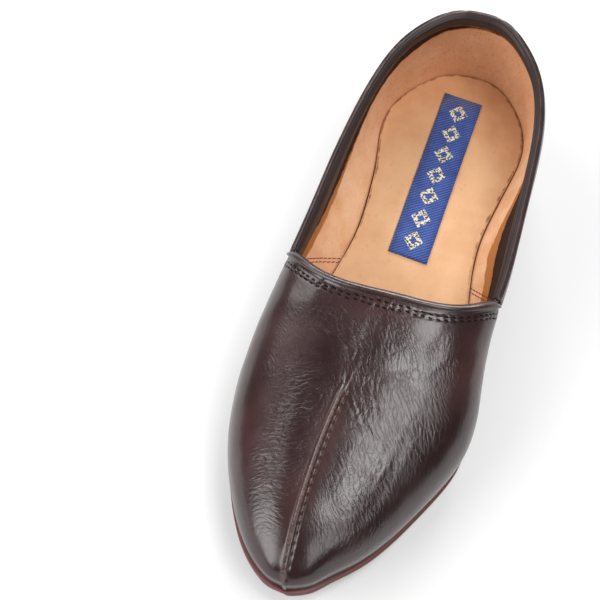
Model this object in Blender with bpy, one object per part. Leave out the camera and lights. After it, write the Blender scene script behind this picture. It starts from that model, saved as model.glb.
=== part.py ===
# A left mojari: a low leather slip-on with a pointed toe that swings slightly inward.
#
# Sizes are in millimetres and become metres where a mesh is made. "along" is measured from the
# back of the heel to the toe, "across" from the heel's middle line and negative on the inner
# (big toe) side. In the finished model the toe points to -Y, +X is the outer side and +Z is up,
# and the origin is on the floor under the middle of the shoe.

import math
from collections import namedtuple

import bmesh
import bpy
import numpy as np

MM = 0.001  # metres in a millimetre

# ---- Driving sizes ----
GAP = 0.3  # left between pieces that touch
WALL = 2.2  # upper leather and lining together
OUTSOLE_THICK = 4.8
SOLE_UNDERCUT = 1.6  # how far the outsole's side comes in at the bottom, in the front
HEEL_UNDERCUT = 0.5  # and over the heel
HEEL_LENGTH = 68.0
HEEL_TAPER = 0.7  # how far the heel comes in at the floor
HEEL_BEVEL = 0.8  # height of its rounded bottom edge
WAIST = (60.0, 110.0)  # along, where the heel's undercut turns into the front's
INSOLE_THICK = 2.4
INSOLE_BEVEL = 0.6
TOE_CURVE = 26.0  # the top line rounds over within this distance of the toe tip
TOE_BLUNT = 2.3  # how bluntly it does
TOE_SWING = 30.0  # and within this distance it turns toward the tip
LOWER_BEND = 1.9  # how late the wall below the widest line turns in
UPPER_BEND = 2.4  # and above it, behind the side seam
THROAT_CENTRE = 158.5  # along, where the opening starts on the instep
THROAT_CORNER = 142.0  # along, where the throat edge meets the side topline
THROAT_BEND = 3.4  # how square the throat curve is
VAMP_STEP = 1.0  # how far the front half stands over the back half at the side seam
VAMP_STEP_FADE = 24.0  # and how far from the seam that is lost
VAMP_STEP_FRONT = 0.6  # share of the step that the front half rises
VAMP_STEP_BACK = 0.4  # and that the back half sinks
SEAM_END = 201.0  # along, where the raised toe seam stops
SEAM_BOW = 5.4  # how far its middle bows toward the inner side
SEAM_HALF = 1.0  # half the seam's flat top
SEAM_SLOPE = 0.6  # each sloping side of it
SEAM_HIGH = 0.8
SEAM_END_SLOPE = 1.2
LABEL_LONG = 91.5
LABEL_WIDE = 18.6
LABEL_THICK = 0.5
LABEL_MIDDLE = (64.0, 1.5)  # along, across
LABEL_TURN = 2.9  # degrees, its front end toward the inner side
LABEL_END_SLANT = 6.8  # degrees, its ends are cut a little askew

# ---- How the meshes are divided ----
FRONT_RIBS = 20  # ribs on each side from the toe seam to the throat corner
BACK_RIBS = 17  # and from the side seam to the middle of the heel
WALL_ROWS = 4  # rows below the widest line
TOP_ROWS = 10  # and above it
SEAM_ROWS = 7  # of those, how many the toe seam takes
LABEL_ROWS = 13
HEEL_LAST_SPAN = 4.0  # the least span between the heel's front edge and its next point
RIB_BESIDE_SEAM = 2.4  # the first plain rib's distance from the toe seam's foot
RIB_BEHIND_SEAM = 0.9  # the first back rib's distance behind the side seam
RIB_SPREAD = 1.08  # over 1 the front ribs are closer together at the toe
THROAT_SPREAD = 1.35  # over 1 they are closer together at the throat corner
ROW_SPREAD = 0.4  # over 0 the rows of the toe are closer together at the widest line
FINE = 120  # samples along a rib before it is divided
CURVE_STEPS = 40  # samples to each span of an outline

# Widest line of the upper, seen from above: reach to the inner and to the outer side.
Girth = namedtuple("Girth", "along inner outer")
GIRTH = [
    Girth(1.5, 7, 17.5),
    Girth(7, 15.5, 25),
    Girth(22, 28, 37),
    Girth(50, 37, 45),
    Girth(90, 42, 45.5),
    Girth(130, 46, 46),
    Girth(165, 52.5, 46),
    Girth(198, 55, 48.5),
    Girth(226, 51.5, 38),
    Girth(250, 42.5, 25),
    Girth(268, 32, 10.5),
    Girth(279, 21, -4),
]
HEEL_BACK = (0.0, 5.0)  # along, across
TOE_TIP = (283.0, -11.5)

# What changes from heel to toe:
#   spring             floor to the underside of the outsole
#   tuck_in, tuck_out  widest line in to the upper's bottom edge, on the inner and outer side
#   lip                outsole beyond the upper's bottom edge
#   rise               upper's bottom edge up to its widest line
#   lean               widest line in to the topline
#   top                height of the topline at the back, of the ridge in front
#   ridge              where the ridge runs, across
#   square             how square the front half's section is
Station = namedtuple("Station", "along spring tuck_in tuck_out lip rise lean top ridge square")
STATIONS = [
    Station(0, 4.2, 1.4, 1.4, 0.6, 24, 5.0, 60.5, 3, 3.0),
    Station(30, 4.2, 1.2, 2.8, 0.6, 24, 3.0, 56, 2, 3.0),
    Station(68, 4.2, 11.2, 10.8, 0.7, 29, 1.0, 49.5, 1, 3.0),
    Station(100, 2.8, 14.6, 15.0, 0.8, 33, 0.0, 46, 1, 2.6),
    Station(125, 1.0, 12.0, 12.8, 0.9, 34, 0.2, 44.5, 1.5, 2.3),
    Station(142, 0.3, 10.0, 10.0, 1.0, 32, 0.8, 43.5, 2, 2.2),
    Station(160, 0.0, 6.5, 6.5, 1.2, 26, 0.0, 58, 1, 2.3),
    Station(180, 0.0, 4.2, 4.2, 1.3, 19, 0.0, 53, -4, 2.4),
    Station(205, 0.0, 3.0, 3.0, 1.4, 15, 0.0, 47.5, -9.5, 2.3),
    Station(235, 1.6, 2.2, 2.2, 1.5, 12, 0.0, 42, -10.6, 2.1),
    Station(262, 5.0, 1.4, 1.4, 1.6, 10, 0.0, 36.5, -11.2, 2.0),
    Station(283, 9.0, 0.8, 0.8, 1.7, 8, 0.0, 31, -12, 2.0),
]
BACK_STATIONS = [row for row in STATIONS if row.along <= THROAT_CORNER]
FRONT_STATIONS = [row for row in STATIONS if row.along > THROAT_CORNER]

# A binding folded over the rim: its depth outside and inside, its thickness, and its clearance.
Binding = namedtuple("Binding", "name deep_out deep_in thick_out thick_top thick_in clear")
THROAT_BINDING = Binding("throat_binding", 2.0, 2.0, 1.1, 1.0, 0.8, 0.6)
TOPLINE_BINDING = Binding("topline_binding", 5.0, 9.0, 1.2, 1.3, 0.8, GAP)
THROAT_END_SWELL = 0.7  # the throat binding thins where it meets the other
TOPLINE_END_TRIM = 0.12  # share of its first span that the topline binding starts late

# The outsole's side from the floor up: share of the undercut, height.
SOLE_SIDE = [(1.0, 0.0), (0.35, 1.4), (0.0, 3.3), (0.15, OUTSOLE_THICK)]

Finish = namedtuple("Finish", "colour roughness")
FINISHES = {
    "outsole": Finish((0.115, 0.035, 0.035), 0.5),
    "heel": Finish((0.07, 0.022, 0.022), 0.5),
    "upper": Finish((0.045, 0.024, 0.024), 0.3),
    "insole": Finish((0.56, 0.33, 0.17), 0.7),
    "throat_binding": Finish((0.05, 0.03, 0.03), 0.3),
    "topline_binding": Finish((0.035, 0.017, 0.018), 0.35),
    "woven_label": Finish((0.02, 0.06, 0.3), 0.6),
}


# ---- Curves ----
def smooth_through(x, y, where):
    # A cubic through the points that never overshoots them, read at these places.
    step = np.diff(x)
    slope = np.diff(y) / step
    same = slope[:-1] * slope[1:] > 0
    first = 2 * step[1:] + step[:-1]
    second = step[1:] + 2 * step[:-1]
    before = np.where(same, slope[:-1], 1)
    after = np.where(same, slope[1:], 1)
    tangent = np.zeros(len(x))
    tangent[1:-1] = np.where(same, (first + second) / (first / before + second / after), 0)
    where = np.clip(np.asarray(where, float), x[0], x[-1])
    i = np.clip(np.searchsorted(x, where, side="right") - 1, 0, len(x) - 2)
    t = (where - x[i]) / step[i]
    ends = y[i] * (1 + 2 * t) * (1 - t) ** 2 + y[i + 1] * t * t * (3 - 2 * t)
    return ends + (tangent[i] * t * (1 - t) ** 2 - tangent[i + 1] * t * t * (1 - t)) * step[i]


def at(column, along, rows=STATIONS):
    x = np.array([row.along for row in rows], float)
    y = np.array([getattr(row, column) for row in rows], float)
    return smooth_through(x, y, along)


def closed_curve(points):
    # A smooth closed line through the points, with the same bend on both sides of each.
    p = np.array(points, float)
    n = len(p)
    span = np.linalg.norm(np.roll(p, -1, 0) - p, axis=1) ** 0.5
    rows = np.zeros((n, n))
    right = np.zeros((n, 2))
    for i in range(n):
        j = (i + 1) % n
        before, after = 1 / span[i - 1], 1 / span[i]
        rows[i, i - 1] += before
        rows[i, i] += 2 * (before + after)
        rows[i, j] += after
        right[i] = 3 * ((p[i] - p[i - 1]) * before**2 + (p[j] - p[i]) * after**2)
    m = np.linalg.solve(rows, right)
    line = []
    for i in range(n):
        j = (i + 1) % n
        for t in np.arange(CURVE_STEPS) / CURVE_STEPS:
            ends = p[i] * (1 + 2 * t) * (1 - t) ** 2 + p[j] * t * t * (3 - 2 * t)
            line.append(ends + (m[i] * t * (1 - t) ** 2 - m[j] * t * t * (1 - t)) * span[i])
    return np.array(line)


def lengths(line):
    return np.concatenate([[0], np.cumsum(np.linalg.norm(np.diff(line, axis=0), axis=1))])


def pick(line, where):
    # Points of a line at these lengths from its start.
    run = lengths(line)
    return np.stack([np.interp(where, run, line[:, i]) for i in range(line.shape[1])], 1)


def unit(vectors):
    return vectors / np.linalg.norm(vectors, axis=-1, keepdims=True)


# ---- The last: what the upper is shaped over ----
def girth_sides():
    # The widest line as two fine lines from the toe tip to the heel: outer side, inner side.
    outer = [(row.along, row.outer) for row in reversed(GIRTH)]
    inner = [(row.along, -row.inner) for row in GIRTH]
    line = closed_curve([TOE_TIP, *outer, HEEL_BACK, *inner])
    line = np.roll(line, -int(line[:, 0].argmax()), 0)
    back = int(line[:, 0].argmin())
    return line[: back + 1], np.vstack([line[back:], line[:1]])[::-1]


OUTER, INNER = girth_sides()
TIP = OUTER[0]
CENTRE_ALONG = (TIP[0] + STATIONS[-1].lip - STATIONS[-1].tuck_out) / 2
CENTRE_ACROSS = (OUTER[:, 1].max() + INNER[:, 1].min()) / 2


def reach(side, along):
    # The widest line's across at a place along, on the outer (1) or inner (-1) side.
    line = OUTER if side > 0 else INNER
    return np.interp(-np.asarray(along, float), -line[:, 0], line[:, 1])


def edge_height(along):
    return at("spring", along) + OUTSOLE_THICK + GAP


def girth_height(along):
    return edge_height(along) + at("rise", along)


def ridge_height(along):
    # Top line of the front half from the side, rounding over at the toe.
    low = girth_height(along)
    first, second = FRONT_STATIONS[:2]
    slope = (first.top - second.top) / (second.along - first.along)
    top = at("top", along, FRONT_STATIONS) + slope * np.clip(first.along - along, 0, None)
    back = np.clip((TIP[0] - along) / TOE_CURVE, 0, 1)
    return low + (top - low) * np.sqrt(1 - (1 - back) ** TOE_BLUNT)


def ridge_across(along):
    near = np.clip(1 - (TIP[0] - along) / TOE_SWING, 0, 1) ** 2
    return at("ridge", along) * (1 - near) + TIP[1] * near


def dome_height(along, across):
    # Height of the front half's outer face over a place inside the widest line.
    middle = ridge_across(along)
    half = np.where(across > middle, reach(1, along) - middle, middle - reach(-1, along))
    share = np.clip(np.abs(across - middle) / np.maximum(half, 1e-6), 0, 1)
    low = girth_height(along)
    square = at("square", along)
    return low + (ridge_height(along) - low) * (1 - share**square) ** (1 / square)


def corner_across(side):
    return reach(side, THROAT_CORNER) - side * at("lean", THROAT_CORNER)


def throat_point(share, side):
    # A point of the throat edge from above: share is 0 in the middle and 1 at the corner.
    middle = ridge_across(THROAT_CENTRE)
    along = THROAT_CENTRE - (THROAT_CENTRE - THROAT_CORNER) * share**THROAT_BEND
    return np.array([along, middle + (corner_across(side) - middle) * share])


# ---- Ribs: lines on the upper from its bottom edge up to the collar ----
SEAM_OFFSETS = [0.0, SEAM_HALF, SEAM_HALF + SEAM_SLOPE]


def side_feet(side):
    # Where one side's ribs cross the widest line, from the toe tip to the middle of the heel.
    line = OUTER if side > 0 else INNER
    run = lengths(line)
    corner = float(np.interp(-THROAT_CORNER, -line[:, 0], run))
    first = SEAM_OFFSETS[-1] + RIB_BESIDE_SEAM
    spread = np.linspace(0, 1, FRONT_RIBS - 2) ** RIB_SPREAD
    behind = corner + RIB_BEHIND_SEAM
    back = behind + (run[-1] - behind) * np.linspace(0, 1, BACK_RIBS + 1)
    return pick(line, np.concatenate([SEAM_OFFSETS, first + (corner - first) * spread, back]))


def throat_shares():
    # Where one side's front ribs end on the throat edge, closer together at the corner.
    half = -corner_across(-1)
    first = (SEAM_OFFSETS[-1] + 0.75 * RIB_BESIDE_SEAM) / half
    spread = 1 - (1 - np.linspace(0, 1, FRONT_RIBS - 2)) ** THROAT_SPREAD
    return np.concatenate([np.array(SEAM_OFFSETS) / half, first + (1 - first) * spread])


def outward(points):
    # Outward from an outline that runs from the toe by the outer side to the heel.
    run = unit(np.roll(points, -1, 0) - np.roll(points, 1, 0))
    return np.stack([run[:, 1], -run[:, 0]], 1)


def all_feet():
    outer = side_feet(1)
    inner = side_feet(-1)[1:-1][::-1]
    sides = [1] * len(outer) + [-1] * len(inner)
    steps = list(range(len(outer))) + list(range(len(inner), 0, -1))
    return np.vstack([outer, inner]), sides, steps


FEET, SIDES, STEPS = all_feet()
OUTWARD = outward(FEET)
COUNT = len(FEET)
CORNER_RIB = FRONT_RIBS  # number of the rib at the throat corner, counted from the toe seam


def tuck(k):
    return at("tuck_out" if SIDES[k] > 0 else "tuck_in", FEET[k, 0])


def lower_line(k):
    t = np.linspace(0, 1, FINE)
    plan = FEET[k] - OUTWARD[k] * tuck(k) * ((1 - t) ** LOWER_BEND)[:, None]
    return np.column_stack([plan, edge_height(FEET[k, 0]) + at("rise", FEET[k, 0]) * t])


def front_line(k, share):
    t = np.linspace(0, 1, FINE) ** 2
    plan = FEET[k] + (throat_point(share, SIDES[k]) - FEET[k]) * t[:, None]
    beside = max(0, STEPS[k] - len(SEAM_OFFSETS) + 1) / CORNER_RIB
    plan[:, 1] -= SEAM_BOW * (1 - beside) ** 2 * np.sin(math.pi * t)
    return np.column_stack([plan, dome_height(plan[:, 0], plan[:, 1])])


def back_line(k):
    t = np.linspace(0, 1, FINE)
    along = FEET[k, 0]
    low = girth_height(along)
    plan = FEET[k] - OUTWARD[k] * at("lean", along) * (t**UPPER_BEND)[:, None]
    return np.column_stack([plan, low + (at("top", along, BACK_STATIONS) - low) * t])


def seam_rows(line, closer):
    # Rows of a rib under the toe seam: one falls on the seam's end and the next just past it.
    run = lengths(line)
    end = float(np.interp(-SEAM_END, -line[:, 0], run))
    seam = end * (np.arange(SEAM_ROWS + 1) / SEAM_ROWS) ** closer
    rest = np.linspace(end + SEAM_END_SLOPE, run[-1], TOP_ROWS - SEAM_ROWS)
    return pick(line, np.concatenate([seam, rest]))


def plain_form():
    # The upper's outer form without seams, as (rib, row) points of along, across and height.
    shares = throat_shares()
    grid = []
    for k, step in enumerate(STEPS):
        wall = lower_line(k)
        low = pick(wall, lengths(wall)[-1] * np.arange(WALL_ROWS) / WALL_ROWS)
        top = front_line(k, shares[step]) if step <= CORNER_RIB else back_line(k)
        closer = 1.0 + ROW_SPREAD * max(0.0, 1 - step / CORNER_RIB)
        if step < len(SEAM_OFFSETS):
            high = seam_rows(top, closer)
        else:
            high = pick(top, lengths(top)[-1] * (np.arange(TOP_ROWS + 1) / TOP_ROWS) ** closer)
        grid.append(np.vstack([low, high]))
    return np.array(grid)


def relief(grid):
    # How far the outer face stands off the plain form: toe seam, and the step at the side seam.
    raised = np.zeros(grid.shape[:2])
    for k, step in enumerate(STEPS):
        if step <= 1:
            raised[k] += SEAM_HIGH * (grid[k, :, 0] > SEAM_END - 0.1)
        away = abs(FEET[k, 0] - THROAT_CORNER) / VAMP_STEP_FADE
        share = VAMP_STEP_FRONT if step <= CORNER_RIB else -VAMP_STEP_BACK
        raised[k] += VAMP_STEP * share * max(0.0, 1 - away) ** 2
    return raised


def upper_faces():
    # Outer face, inner face and outward directions of the upper, each by rib and row.
    grid = plain_form()
    round_it = np.roll(grid, -1, 0) - np.roll(grid, 1, 0)
    normal = unit(np.cross(round_it, np.gradient(grid, axis=1)))
    return grid + normal * relief(grid)[:, :, None], grid - normal * WALL, normal


UPPER_OUT, UPPER_IN, UPPER_NORMAL = upper_faces()


# ---- Making solids ----
def to_metres(point):
    along, across, height = point
    return ((across - CENTRE_ACROSS) * MM, (CENTRE_ALONG - along) * MM, height * MM)


def first_ring(bm, ring):
    verts = [bm.verts.new(to_metres(point)) for point in ring]
    return verts, [bm.edges.new((a, b)) for a, b in zip(verts, verts[1:] + verts[:1])]


def next_ring(bm, verts, edges, ring):
    # Draw the loop of edges out to the next section.
    drawn = bmesh.ops.extrude_edge_only(bm, edges=edges)["geom"]
    new_edges = [item for item in drawn if isinstance(item, bmesh.types.BMEdge)]
    fresh = {item for item in drawn if isinstance(item, bmesh.types.BMVert)}
    new_verts = []
    for vert in verts:
        new_verts.append(next(e.other_vert(vert) for e in vert.link_edges if e.other_vert(vert) in fresh))
    for vert, point in zip(new_verts, ring):
        vert.co = to_metres(point)
    return new_verts, new_edges


def cap(bm, verts, edges, pairs):
    # Close a loop with one face and cut it into strips between the paired corners.
    bmesh.ops.contextual_create(bm, geom=edges)
    for a, b in pairs:
        bmesh.ops.connect_verts(bm, verts=[verts[a], verts[b]])


def solid(name, rings, joined=False, pairs=()):
    # A solid drawn through closed sections: its ends are joined to each other, or capped.
    bm = bmesh.new()
    start_verts, start_edges = first_ring(bm, rings[0])
    verts, edges = start_verts, start_edges
    for ring in rings[1:]:
        verts, edges = next_ring(bm, verts, edges, ring)
    if joined:
        bmesh.ops.bridge_loops(bm, edges=start_edges + edges)
    else:
        cap(bm, start_verts, start_edges, pairs)
        cap(bm, verts, edges, pairs)
    bmesh.ops.recalc_face_normals(bm, faces=bm.faces)
    mesh = bpy.data.meshes.new(name)
    bm.to_mesh(mesh)
    bm.free()
    mesh.shade_smooth()
    mesh.set_sharp_from_angle(angle=math.radians(40))
    mesh.materials.append(material(name))
    obj = bpy.data.objects.new(name, mesh)
    bpy.context.scene.collection.objects.link(obj)
    return obj


def material(name):
    made = bpy.data.materials.new(name)
    made.use_nodes = True
    shader = made.node_tree.nodes["Principled BSDF"]
    shader.inputs["Base Color"].default_value = (*FINISHES[name].colour, 1)
    shader.inputs["Roughness"].default_value = FINISHES[name].roughness
    shader.inputs["Metallic"].default_value = 0.0
    return made


# ---- Upper ----
def make_upper():
    outside = [UPPER_OUT[:, row] for row in range(UPPER_OUT.shape[1])]
    inside = [UPPER_IN[:, row] for row in range(UPPER_IN.shape[1])]
    solid("upper", outside + inside[::-1], joined=True)


# ---- Sole, heel and insole ----
FACING_RIBS = [(k, COUNT - k) for k in range(1, COUNT // 2)]


def inset_outline(inward):
    # The upper's bottom edge seen from above, moved this far inward.
    tucks = np.array([tuck(k) for k in range(COUNT)])
    return FEET - OUTWARD * (tucks + inward)[:, None]


def level(plan, height):
    return np.column_stack([plan, np.broadcast_to(height, len(plan))])


def sole_side(share):
    # The outsole's outline: share 0 at its widest and 1 at its underside.
    over_waist = smooth_through(np.array(WAIST), np.array([0.0, 1.0]), FEET[:, 0])
    deep = HEEL_UNDERCUT + (SOLE_UNDERCUT - HEEL_UNDERCUT) * over_waist
    return inset_outline(deep * share - at("lip", FEET[:, 0]))


def make_outsole():
    rings = []
    for share, height in SOLE_SIDE:
        plan = sole_side(share)
        rings.append(level(plan, at("spring", plan[:, 0]) + height))
    solid("outsole", rings, pairs=FACING_RIBS)


def make_heel():
    plan = sole_side(1.0)
    back = COUNT // 2
    kept = [k for k in range(back) if plan[back - k, 0] < HEEL_LENGTH - HEEL_LAST_SPAN]
    front = []
    for way in (-1, 1):
        line = np.array([plan[back + way * k] for k in range(len(kept) + 3)])
        front.append((HEEL_LENGTH, np.interp(HEEL_LENGTH, line[:, 0], line[:, 1])))
    outer = [plan[back - k] for k in kept] + [front[0]]
    inner = [front[1]] + [plan[back + k] for k in kept[:0:-1]]
    outline = np.array(outer + inner)
    middle = np.array([HEEL_LENGTH / 2, HEEL_BACK[1]])
    inward = unit(middle - outline)
    rings = [
        level(outline + inward * HEEL_TAPER, 0.0),
        level(outline + inward * HEEL_TAPER / 4, HEEL_BEVEL),
        level(outline, STATIONS[0].spring - GAP),
    ]
    solid("heel", rings, pairs=[(k, len(outline) - k) for k in range(1, len(kept))])


def insole_top(along):
    return edge_height(along) + INSOLE_THICK


def make_insole():
    rings = []
    for inward, below in ((0.0, INSOLE_THICK), (0.0, INSOLE_BEVEL), (INSOLE_BEVEL, 0.0)):
        plan = inset_outline(WALL + GAP + inward)
        rings.append(level(plan, insole_top(plan[:, 0]) - below))
    solid("insole", rings, pairs=FACING_RIBS)


def make_label():
    turn, slant = math.radians(LABEL_TURN), math.radians(LABEL_END_SLANT)
    ahead = np.array([math.cos(turn), -math.sin(turn)])
    aside = np.array([math.sin(slant), math.cos(slant)]) * LABEL_WIDE / 2
    spine = [np.array(LABEL_MIDDLE) + ahead * LABEL_LONG * t for t in np.linspace(-0.5, 0.5, LABEL_ROWS)]
    outline = np.array([p + aside for p in spine] + [p - aside for p in spine[::-1]])
    rings = [level(outline, insole_top(outline[:, 0]) + h) for h in (GAP, GAP + LABEL_THICK)]
    last = len(outline) - 1
    solid("woven_label", rings, pairs=[(k, last - k) for k in range(1, LABEL_ROWS - 1)])


# ---- Bindings round the collar ----
class Rim:
    # The collar edge at one rib: places on and off both faces of the upper's wall.

    def __init__(self, k):
        self.outer = UPPER_OUT[k][::-1]
        self.inner = UPPER_IN[k][::-1]
        self.normal = UPPER_NORMAL[k][::-1]
        self.up = unit(self.outer[0] - self.outer[1])

    def outside(self, depth, off, lift=0.0):
        return pick(self.outer, [depth])[0] + self.away(depth) * off + self.up * lift

    def inside(self, depth, off, lift=0.0):
        return pick(self.inner, [depth])[0] - self.away(depth) * off + self.up * lift

    def away(self, depth):
        run = lengths(self.outer)
        return unit(np.array([np.interp(depth, run, self.normal[:, i]) for i in range(3)]))

    def over(self, share, high):
        return self.outer[0] * (1 - share) + self.inner[0] * share + self.up * high


def binding_section(rim, size, swell):
    # Section of the binding, from the outer lip over the top to the inner lip and back inside.
    out = size.thick_out * swell
    top = size.clear + size.thick_top * swell
    inn = size.thick_in
    clear = size.clear
    return [
        rim.outside(size.deep_out, clear),
        rim.outside(size.deep_out, clear + 0.45 * out),
        rim.outside(size.deep_out - 0.7, clear + 0.9 * out),
        rim.outside(size.deep_out * 0.45, clear + out),
        rim.outside(0.25, clear + 0.8 * out, 0.35),
        rim.over(0.2, top),
        rim.over(0.8, top),
        rim.inside(0.25, clear + inn, 0.35),
        rim.inside(size.deep_in - 0.4, clear + inn),
        rim.inside(size.deep_in, clear + 0.4 * inn),
        rim.inside(size.deep_in, clear),
        rim.inside(size.deep_in * 0.5, clear),
        rim.inside(0, clear, clear),
        rim.outside(0, clear, clear),
        rim.outside(size.deep_out * 0.5, clear),
    ]


def make_binding(size, ribs, end_swell, end_trim):
    sections = []
    for k in ribs:
        swell = end_swell if k in (ribs[0], ribs[-1]) else 1.0
        sections.append(np.array(binding_section(Rim(k), size, swell)))
    sections[0] += (sections[1] - sections[0]) * end_trim
    sections[-1] += (sections[-2] - sections[-1]) * end_trim
    solid(size.name, sections)


def make_bindings():
    throat = list(range(-CORNER_RIB, CORNER_RIB + 1))
    topline = list(range(CORNER_RIB + 1, COUNT - CORNER_RIB))
    make_binding(THROAT_BINDING, throat, THROAT_END_SWELL, 0.0)
    make_binding(TOPLINE_BINDING, topline, 1.0, TOPLINE_END_TRIM)


def main():
    for obj in list(bpy.data.objects):
        bpy.data.objects.remove(obj)
    make_outsole()
    make_heel()
    make_upper()
    make_insole()
    make_bindings()
    make_label()


main()
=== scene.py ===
# A left mojari dressed over its frame: glossy brown leather outside, tan leather inside,
# a blue woven tape on the insole and a painted sole. Lengths in the dictionaries are millimetres,
# but the places of the lights and the camera, and the lights' sizes, are metres.
import math

import bmesh
import bpy
import numpy as np
from mathutils import Matrix, Vector, noise
from mathutils.bvhtree import BVHTree


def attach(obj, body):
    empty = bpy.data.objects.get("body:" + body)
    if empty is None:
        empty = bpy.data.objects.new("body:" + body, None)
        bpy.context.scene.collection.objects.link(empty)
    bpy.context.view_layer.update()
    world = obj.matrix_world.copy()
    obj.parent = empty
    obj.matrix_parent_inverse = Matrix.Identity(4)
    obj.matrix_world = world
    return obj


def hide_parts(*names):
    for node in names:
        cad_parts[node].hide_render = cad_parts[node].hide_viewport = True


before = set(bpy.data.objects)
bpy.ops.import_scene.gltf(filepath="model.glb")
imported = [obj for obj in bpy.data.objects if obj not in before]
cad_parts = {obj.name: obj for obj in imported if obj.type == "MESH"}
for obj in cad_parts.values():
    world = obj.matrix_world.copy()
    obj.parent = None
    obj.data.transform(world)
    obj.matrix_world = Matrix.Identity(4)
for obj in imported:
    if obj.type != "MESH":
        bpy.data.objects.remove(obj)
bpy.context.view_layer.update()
mm = 0.001


# Shaping tools

def copyNode(node):
    # a solid of the frame as a bmesh of quads
    shape = bmesh.new()
    shape.from_mesh(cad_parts[node].data)
    bmesh.ops.remove_doubles(shape, verts=shape.verts, dist=0.001 * mm)
    bmesh.ops.join_triangles(shape, faces=shape.faces, angle_face_threshold=1.0,
                             angle_shape_threshold=2.5, topology_influence=1.0)
    return shape


def keepSharp(shape, angle, amount, wanted=lambda edge: True):
    # edges that the rounding leaves crisp
    layer = shape.edges.layers.float.get("crease_edge") or shape.edges.layers.float.new("crease_edge")
    for edge in shape.edges:
        if edge.calc_face_angle(0) > angle and wanted(edge):
            edge[layer] = amount


def rounded(shape, levels):
    # the same shape with its faces divided and rounded
    draft = bpy.data.meshes.new("draft")
    shape.to_mesh(draft)
    shape.free()
    holder = bpy.data.objects.new("draft", draft)
    bpy.context.collection.objects.link(holder)
    rounder = holder.modifiers.new("round", "SUBSURF")
    rounder.levels = rounder.render_levels = levels
    result = bmesh.new()
    result.from_object(holder, bpy.context.evaluated_depsgraph_get())
    bpy.data.objects.remove(holder)
    bpy.data.meshes.remove(draft)
    return result


def refine(shape, wanted, longOnly=False):
    # divides the wanted faces in four, or only across their long sides, keeping them curved
    cut = set()
    for face in shape.faces:
        if not wanted(face):
            continue
        if not longOnly:
            cut.update(face.edges)
        elif len(face.edges) == 4:
            pairs = sorted((face.edges[i].calc_length() + face.edges[i + 2].calc_length(), i) for i in (0, 1))
            if pairs[1][0] > 1.5 * pairs[0][0]:
                cut.update((face.edges[pairs[1][1]], face.edges[pairs[1][1] + 2]))
    bmesh.ops.subdivide_edges(shape, edges=list(cut), cuts=1, use_grid_fill=True, smooth=1.0)


# the toe's tip is drawn back and filled out toward the outer side: plan centre, radii, way along x and y
toeTip = [((3, -136), (8, 8), (0.6, -1.9)), ((-10, -142), (4.5, 4), (1.5, 1.3))]


def bluntToe(shape):
    for vert in shape.verts:
        if vert.co.y > -0.105:
            continue
        for middle, radii, way in toeTip:
            x, y = vert.co.x / mm - middle[0], vert.co.y / mm - middle[1]
            share = math.exp(-(x / radii[0]) ** 2 - (y / radii[1]) ** 2)
            vert.co.x += share * way[0] * mm
            vert.co.y += share * way[1] * mm


def makePiece(name, shape, finishes, replaced=None, sharp=None):
    mesh = bpy.data.meshes.new(name)
    shape.to_mesh(mesh)
    shape.free()
    mesh.shade_smooth()
    if sharp:
        mesh.set_sharp_from_angle(angle=math.radians(sharp))
    for finish in finishes:
        mesh.materials.append(finish)
    piece = bpy.data.objects.new(name, mesh)
    bpy.context.collection.objects.link(piece)
    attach(piece, "root")
    if replaced:
        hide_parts(replaced)
    return piece


def readPoints(piece, what="vertices", key="co"):
    # places or normals of a piece's points as rows of numbers
    values = np.empty(len(piece.data.vertices) * 3)
    getattr(piece.data, what).foreach_get(key, values)
    return values.reshape(-1, 3)


def push(piece, amount):
    # moves the points along their normals by these millimetres
    points = readPoints(piece) + readPoints(piece, "vertex_normals", "vector") * amount[:, None] * mm
    piece.data.vertices.foreach_set("co", points.ravel())
    piece.data.update()


def paint(piece, name, values):
    # a value for each point that the finishes read
    layer = piece.data.attributes.new(name, "FLOAT", "POINT")
    layer.data.foreach_set("value", np.asarray(values, dtype=np.float32))


def alongPath(path, points):
    # distance from each point to a path, the length run along it and the nearest place on it
    gap = np.full(len(points), 1e9)
    run = np.zeros(len(points))
    spot = np.zeros((len(points), 3))
    start = 0.0
    for first, last in zip(path[:-1], path[1:]):
        leg = last - first
        size = np.linalg.norm(leg)
        share = np.clip((points - first) @ leg / size ** 2, 0, 1)
        place = first + share[:, None] * leg
        away = np.linalg.norm(points - place, axis=1)
        closer = away < gap
        gap[closer] = away[closer]
        run[closer] = start + share[closer] * size
        spot[closer] = place[closer]
        start += size
    return gap, run, spot


def marksOf(path):
    # the length run along a path at each of its points
    return np.concatenate([[0], np.cumsum(np.linalg.norm(np.diff(path, axis=0), axis=1))])


def bell(value, middle, wide):
    return np.exp(-((value - middle) / wide) ** 2)


def step(value, low, high):
    share = np.clip((value - low) / (high - low), 0, 1)
    return share * share * (3 - 2 * share)


def softLine(corners, spacing=1.0):
    # a smooth line through plan points, divided evenly
    line = np.array(corners, dtype=float)
    for turn in range(4):
        middles = (line[:-1] + line[1:]) / 2
        inner = 0.75 * line[1:-1] + 0.125 * (line[:-2] + line[2:])
        woven = np.empty((len(line) + len(middles), line.shape[1]))
        woven[1::2] = middles
        woven[0] = line[0]
        woven[-1] = line[-1]
        woven[2:-1:2] = inner
        line = woven
    run = marksOf(line)
    places = np.linspace(0, run[-1], max(3, int(run[-1] / spacing) + 1))
    return np.stack([np.interp(places, run, line[:, i]) for i in range(line.shape[1])], axis=1)


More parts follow.
